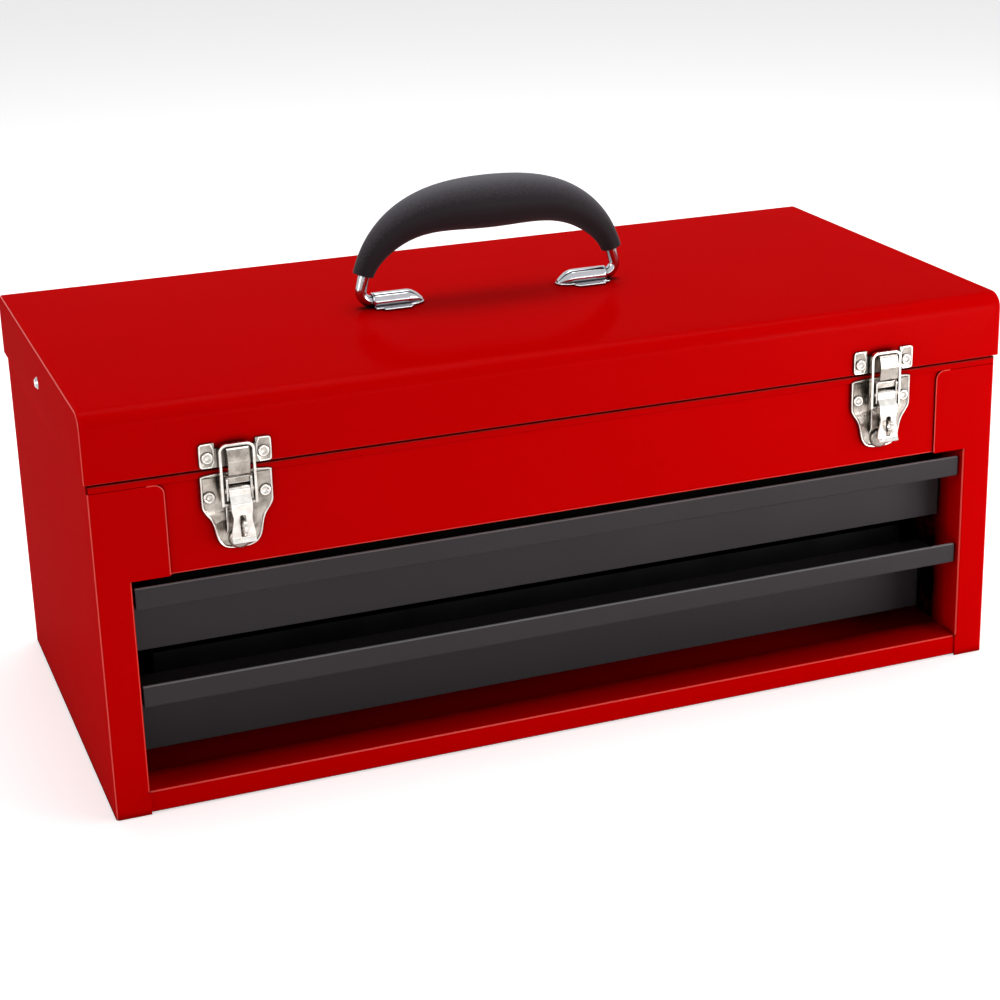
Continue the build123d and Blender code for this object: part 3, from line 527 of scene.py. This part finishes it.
rivets = {"latchX": 184.0, "earX": 14.3, "steps": 36,
          # Y and height of each pair's foot, on the lid and on the body
          "keeper": (-129.0, 189.8), "base": (-127.05, 168.4),
          # a hollow rivet's section: radius and height of its head, from its dimple outwards
          "section": ((0.9, 0.30), (1.5, 0.62), (1.95, 1.12), (2.35, 1.28), (2.75, 1.12), (3.05, 0.6),
                      (3.1, 0.0))}


def hollowRivets(name, place):
    # one head is turned from its section, and set in each of the four holes
    skin = bmesh.new()
    y, z = place
    turns = [2 * math.pi * k / rivets["steps"] for k in range(rivets["steps"])]
    for latchX in (-rivets["latchX"], rivets["latchX"]):
        for x in (latchX - rivets["earX"], latchX + rivets["earX"]):
            rings = []
            for radius, height in rivets["section"]:
                corners = [(x + radius * math.cos(turn), y - height, z + radius * math.sin(turn))
                           for turn in turns]
                rings.append([skin.verts.new(Vector(corner) * mm) for corner in corners])
            skin.faces.new(rings[0])
            for inner, outer in zip(rings, rings[1:]):
                bandBetween(skin, inner, outer)
            skin.faces.new(rings[-1])
    bmesh.ops.recalc_face_normals(skin, faces=skin.faces)
    # the heads take the lighter nickel, a painted highlight
    return meshPiece(name, skin, "nickelLever")


for node, key in (("keeper_rivets", "keeper"), ("latch_base_rivets", "base")):
    heads = hollowRivets(node + "_hollow", rivets[key])
    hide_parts(node)
    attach(heads, bodyOf[node])
print("rivets set: 8")


# how a flat outline and a level across it stand in space
axes = {"XY": lambda a, b, t: (a, b, t), "YZ": lambda a, b, t: (t, a, b), "XZ": lambda a, b, t: (a, t, b)}


def addPrism(skin, outline, plane, low, high):
    # a flat outline in millimetres, drawn out from one level to another
    first = [skin.verts.new(Vector(axes[plane](a, b, low)) * mm) for a, b in outline]
    last = [skin.verts.new(Vector(axes[plane](a, b, high)) * mm) for a, b in outline]
    skin.faces.new(first)
    skin.faces.new(last)
    bandBetween(skin, first, last)


def mirroredOutline(half):
    return list(half) + [(-a, b) for a, b in reversed(half[1:])]


def rounded(outline, times):
    # cuts every corner of a closed outline, again and again, until it reads as a curve
    for _ in range(times):
        cut = []
        for (ax, ay), (bx, by) in zip(outline, outline[1:] + outline[:1]):
            cut += [(0.75 * ax + 0.25 * bx, 0.75 * ay + 0.25 * by),
                    (0.25 * ax + 0.75 * bx, 0.25 * ay + 0.75 * by)]
        outline = cut
    return outline


def shrunk(outline, distance):
    # moves each corner of a closed outline inwards
    moved = []
    for k, (x, z) in enumerate(outline):
        (ax, az), (bx, bz) = outline[k - 1], outline[(k + 1) % len(outline)]
        length = math.hypot(bx - ax, bz - az)
        moved.append((x - distance * (bz - az) / length, z + distance * (bx - ax) / length))
    return moved


latch = {"x": 184.0, "front": -127.5,
         # right half of the plate's outline, upwards from the middle of its foot
         "half": ((0.0, 139.6), (4.4, 139.6), (8.6, 140.9), (11.0, 143.9), (12.1, 147.6), (12.8, 151.8),
                  (14.0, 155.6), (16.6, 159.2), (18.5, 162.4), (18.5, 166.5), (18.5, 173.0), (18.5, 177.5),
                  (18.5, 180.8)),
         # how far in from the outline, and how far behind the plate's front: a rim round a pressed field
         "rim": ((0.0, 2.0), (0.0, 0.6), (0.12, 0.22), (0.35, 0.0), (0.7, 0.02), (1.0, 0.2), (1.5, 0.55)),
         "brightBands": (2, 3, 4),  # of the rim, the ones that take the painted highlight
         "plateRounding": 2, "earRounding": 1,  # how often an outline's corners are cut
         # the keeper's right ear, and its own lower rim
         "ear": ((10.6, 184.4), (16.9, 184.4), (18.1, 184.9), (18.5, 186.0), (18.5, 195.6), (18.1, 196.7),
                 (16.9, 197.2), (10.6, 197.2)),
         "earRim": ((0.0, 0.3), (0.0, 0.15), (0.1, 0.04), (0.3, 0.0), (0.55, 0.02), (0.8, 0.1), (1.1, 0.25)),
         "earFront": -129.3,
         # the folded lugs, in Y and Z, and the bridge that joins them at the top
         "lug": ((-127.0, 179.4), (-133.0, 179.4), (-133.8, 178.6), (-133.8, 167.6), (-133.4, 167.2),
                 (-129.4, 166.1), (-129.1, 151.3), (-127.0, 147.9)),
         "lugX": (5.7, 6.7), "lugRadius": 0.3,
         "bridgeY": (-132.8, -131.8), "bridgeZ": (176.0, 179.4),
         # the nose at the plate's foot
         "boss": {"height": 144.9, "across": 6.0, "out": 3.7, "tall": 5.7, "sunk": 0.6}}


def dishedPlate(name, x, outline, rim, front):
    # a pressed plate: its outline stands up in a thin rolled rim, and the field inside lies lower
    skin = bmesh.new()
    rings = []
    for inset, sunk in rim:
        corners = [(x + a, front + sunk, b) for a, b in shrunk(outline, inset)]
        rings.append([skin.verts.new(Vector(corner) * mm) for corner in corners])
    for number, (outer, inner) in enumerate(zip(rings, rings[1:])):
        # the rim's middle bands take the lighter nickel as a painted highlight
        for face in bandBetween(skin, outer, inner):
            face.material_index = int(number in latch["brightBands"])
    skin.faces.new(rings[-1])
    skin.faces.new(rings[0])
    return pressedPiece(name, skin, "nickel", "nickelLever")


def latchLugs(name, x):
    skin = bmesh.new()
    near, far = latch["lugX"]
    addPrism(skin, latch["lug"], "YZ", x + near, x + far)
    addPrism(skin, latch["lug"], "YZ", x - far, x - near)
    low, high = latch["bridgeZ"]
    addPrism(skin, ((x - far, low), (x + far, low), (x + far, high), (x - far, high)), "XZ",
             *latch["bridgeY"])
    return pressedPiece(name, skin, "nickel", "nickelEdge", latch["lugRadius"])


def latchBoss(name, x):
    # the rounded nose at the plate's foot, below the lever's lip: the front half of a ball
    boss = latch["boss"]
    skin = bmesh.new()
    bmesh.ops.create_uvsphere(skin, u_segments=40, v_segments=24, radius=1.0)
    bmesh.ops.bisect_plane(skin, geom=skin.verts[:] + skin.edges[:] + skin.faces[:], plane_co=(0, 0, 0),
                           plane_no=(0, 1, 0), clear_outer=True)
    bmesh.ops.scale(skin, vec=(boss["across"] * mm, boss["out"] * mm, boss["tall"] * mm), verts=skin.verts)
    bmesh.ops.translate(skin, vec=(x * mm, (latch["front"] + boss["sunk"]) * mm, boss["height"] * mm),
                        verts=skin.verts)
    bmesh.ops.holes_fill(skin, edges=skin.edges)
    return pressedPiece(name, skin, "nickel", "nickelEdge")


for node, x in (("latch_base_left", -latch["x"]), ("latch_base_right", latch["x"])):
    plate = dishedPlate(node + "_plate", x, rounded(mirroredOutline(latch["half"]), latch["plateRounding"]),
                        latch["rim"], latch["front"])
    for piece in (plate, latchLugs(node + "_lugs", x), latchBoss(node + "_boss", x)):
        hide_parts(node)
        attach(piece, bodyOf[node])
    keeper = node.replace("base", "keeper")
    for name, side in (("_outer_ear", 1), ("_inner_ear", -1)):
        outline = [(side * a, b) for a, b in rounded(list(latch["ear"]), latch["earRounding"])][::side]
        ear = dishedPlate(keeper + name, x, outline, latch["earRim"], latch["earFront"])
        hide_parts(keeper)
        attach(ear, bodyOf[keeper])
print("latch bases pressed: 2")


# the cover runs from coverStart to outer, and rises from its bill over noseLength
bracket = {"lidTop": 220.0, "rodZ": 223.55, "outerRadius": 4.63, "sheet": 1.25, "inner": 40.5, "outer": 71.0,
           "coverStart": 41.1, "noseLength": 10.5, "noseCurve": 0.8, "billWidth": 0.30, "wallCurve": 4.0,
           "stations": 26, "stationCrowding": 1.35, "archSteps": 24,
           "flange": 4.2, "flangeSheet": 1.3, "flangeRadius": 0.4, "tab": (49.0, 67.0), "tabReach": 3.3,
           "tabSlope": 2.5, "tipLength": 9.0, "tipWidth": 0.80, "tipSteps": 12, "shoulder": 13.0,
           "channelStart": 51.6}


def noseRise(x):
    # how far the cover has risen at this X: 0 at the bill's tip, 1 over the rod
    along = min(max((x - bracket["inner"]) / bracket["noseLength"], 0.0), 1.0)
    return math.sin(along * math.pi / 2) ** bracket["noseCurve"]


def bracketCover(side):
    # a half-round cover that dips to a duck's bill, pressed from one sheet with a flange round its foot
    top = bracket["rodZ"] + bracket["outerRadius"] - bracket["lidTop"]
    length = bracket["outer"] - bracket["coverStart"]
    skin = bmesh.new()
    rows = []
    for i in range(bracket["stations"] + 1):
        x = bracket["coverStart"] + length * (i / bracket["stations"]) ** bracket["stationCrowding"]
        rise = noseRise(x)
        height = bracket["flangeSheet"] + (top - bracket["flangeSheet"]) * rise
        width = bracket["outerRadius"] * (bracket["billWidth"] + (1 - bracket["billWidth"]) * rise)
        row = []
        for k in range(bracket["archSteps"] + 1):
            turn = math.pi * k / bracket["archSteps"]
            # upright walls below, a half circle above
            wall = max(height - width, 0.0) * min(1.0, math.sin(turn) * bracket["wallCurve"])
            z = bracket["lidTop"] + wall + min(height, width) * math.sin(turn)
            row.append(skin.verts.new(Vector((side * x, width * math.cos(turn), z)) * mm))
        rows.append(row)
    for low, high in zip(rows, rows[1:]):
        for k in range(bracket["archSteps"]):
            skin.faces.new((low[k], low[k + 1], high[k + 1], high[k])[::side])
    cover = meshPiece("handleBracketCover" + ("Right" if side > 0 else "Left"), skin, "chrome", "chromeEdge")
    thick = cover.modifiers.new("sheetThickness", "SOLIDIFY")
    thick.thickness = bracket["sheet"] * mm
    thick.offset = -1.0
    # the cut rim takes the white chrome, a painted highlight
    thick.material_offset_rim = 1
    return cover


def bracketFlange(side):
    reach = bracket["outerRadius"] + bracket["flange"]
    tabStart, tabEnd = bracket["tab"]
    tabY = -reach - bracket["tabReach"]
    outline = [(bracket["outer"], -reach), (tabEnd, -reach), (tabEnd, tabY),
               (tabStart + bracket["tabSlope"], tabY), (tabStart, -reach)]
    # the flange narrows with the bill and ends in a round tip
    for k in range(bracket["tipSteps"] + 1):
        turn = -math.pi / 2 + math.pi * k / bracket["tipSteps"]
        outline.append((bracket["inner"] + bracket["tipLength"] * (1 - math.cos(turn)),
                        reach * bracket["tipWidth"] * math.sin(turn)))
    outline += [(bracket["inner"] + bracket["shoulder"], reach), (bracket["outer"], reach)]
    # open below the rod, where the swinging rod passes
    gap = bracket["outerRadius"] - bracket["sheet"]
    outline += [(bracket["outer"], gap), (bracket["channelStart"], gap), (bracket["channelStart"], -gap),
                (bracket["outer"], -gap)]
    skin = bmesh.new()
    addPrism(skin, [(side * x, y) for x, y in outline], "XY", bracket["lidTop"],
             bracket["lidTop"] + bracket["flangeSheet"])
    name = "handleBracketFlange" + ("Right" if side > 0 else "Left")
    return pressedPiece(name, skin, "chrome", "chromeEdge", bracket["flangeRadius"])


for node, side in (("handle_bracket_left", -1), ("handle_bracket_right", 1)):
    for piece in (bracketCover(side), bracketFlange(side)):
        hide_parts(node)
        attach(piece, bodyOf[node])
print("handle brackets pressed: 2")


studio = {"floor": "#FFFFFF", "floorSize": 30.0, "floorDropMm": 0.4, "floorGloss": 0.9, "floorMirror": 0.1,
          "floorLift": 0.55, "worldStrength": 0.21}


def seenDirectly(tree):
    # 1 for what the camera sees, straight on or in metal and glass, and 0 for light that falls on the box
    rays = addNode(tree, "ShaderNodeLightPath")
    mirror = addNode(tree, "ShaderNodeMath",
                     [(0, rays.outputs["Is Camera Ray"]), (1, rays.outputs["Is Glossy Ray"])],
                     operation="MAXIMUM")
    glass = addNode(tree, "ShaderNodeMath",
                    [(0, mirror.outputs[0]), (1, rays.outputs["Is Transmission Ray"])],
                    operation="MAXIMUM")
    return glass.outputs[0]


def makeStage():
    mesh = bpy.data.meshes.new("floor")
    half = studio["floorSize"] / 2
    mesh.from_pydata([(-half, -half, 0), (half, -half, 0), (half, half, 0), (-half, half, 0)], [],
                     [(0, 1, 2, 3)])
    floor = addPiece("floor", mesh)
    floor.location.z = -studio["floorDropMm"] * mm
    material = bpy.data.materials.new("whitePaperFloor")
    material.use_nodes = True
    tree = material.node_tree
    shader = tree.nodes["Principled BSDF"]
    shader.inputs["Base Color"].default_value = linear(studio["floor"])
    shader.inputs["Roughness"].default_value = studio["floorGloss"]
    shader.inputs["Specular IOR Level"].default_value = studio["floorMirror"]
    # the sheet is lit white for the camera and in reflections, and still takes the box's shadow
    shader.inputs["Emission Color"].default_value = (1, 1, 1, 1)
    lift = addNode(tree, "ShaderNodeMath", [(0, seenDirectly(tree))], operation="MULTIPLY")
    lift.inputs[1].default_value = studio["floorLift"]
    connect(tree, shader, Emission_Strength=lift.outputs[0])
    mesh.materials.append(material)


def makeWorld():
    world = bpy.data.worlds.new("paleStudio")
    world.use_nodes = True
    tree = world.node_tree
    ambient = tree.nodes["Background"]
    ambient.inputs["Color"].default_value = (1, 1, 1, 1)
    ambient.inputs["Strength"].default_value = studio["worldStrength"]
    white = addNode(tree, "ShaderNodeBackground", Color=(1, 1, 1, 1), Strength=1.0)
    mix = addNode(tree, "ShaderNodeMixShader", [(0, seenDirectly(tree)), (1, ambient.outputs[0]),
                                                (2, white.outputs[0])])
    connect(tree, tree.nodes["World Output"], Surface=mix.outputs[0])
    bpy.context.scene.world = world


# each soft box: where it stands, what it points at, its width and height in metres, and its watts
lamps = {"overheadBox": ((0.3, 0.3, 1.9), (0, 0, 0.1), (1.6, 1.2), 23.0),
         "rightFrontBox": ((0.85, -0.88, 0.24), (0.1, 0, 0.1), (0.7, 0.5), 6.2),
         "lowFrontBox": ((0.5, -1.7, 0.12), (0, 0, 0.08), (1.2, 0.25), 3.0),
         "leftFillBox": ((-1.9, -0.4, 0.7), (-0.1, 0, 0.1), (0.8, 1.2), 9.0)}


def softBox(name, place, target, size, watts):
    lamp = bpy.data.lights.new(name, "AREA")
    lamp.shape = "RECTANGLE"
    lamp.size, lamp.size_y = size
    lamp.energy = watts
    holder = addPiece(name, lamp)
    holder.visible_camera = False
    holder.location = place
    holder.rotation_euler = (Vector(target) - Vector(place)).to_track_quat("-Z", "Y").to_euler()


# the camera stands where the photographer stood; its place was worked out from the box's corners
lens = {"place": (-0.41112, -1.13553, 0.54229), "turn": (71.1373, 1.1121, -21.8195), "focal": 78.174,
        "film": 36.0, "shiftX": -0.05, "shiftY": -0.06, "nearest": 0.05}


def makeCamera():
    camera = addPiece("camera", bpy.data.cameras.new("camera"))
    camera.location = lens["place"]
    camera.rotation_euler = [math.radians(angle) for angle in lens["turn"]]
    camera.data.lens = lens["focal"]
    camera.data.sensor_width = lens["film"]
    camera.data.shift_x = lens["shiftX"]
    camera.data.shift_y = lens["shiftY"]
    camera.data.clip_start = lens["nearest"]
    bpy.context.scene.camera = camera


makeStage()
makeWorld()
for name, (place, target, size, watts) in lamps.items():
    softBox(name, place, target, size, watts)
makeCamera()
bpy.context.scene.view_settings.view_transform = "Standard"
print("stage, lights and camera ready")
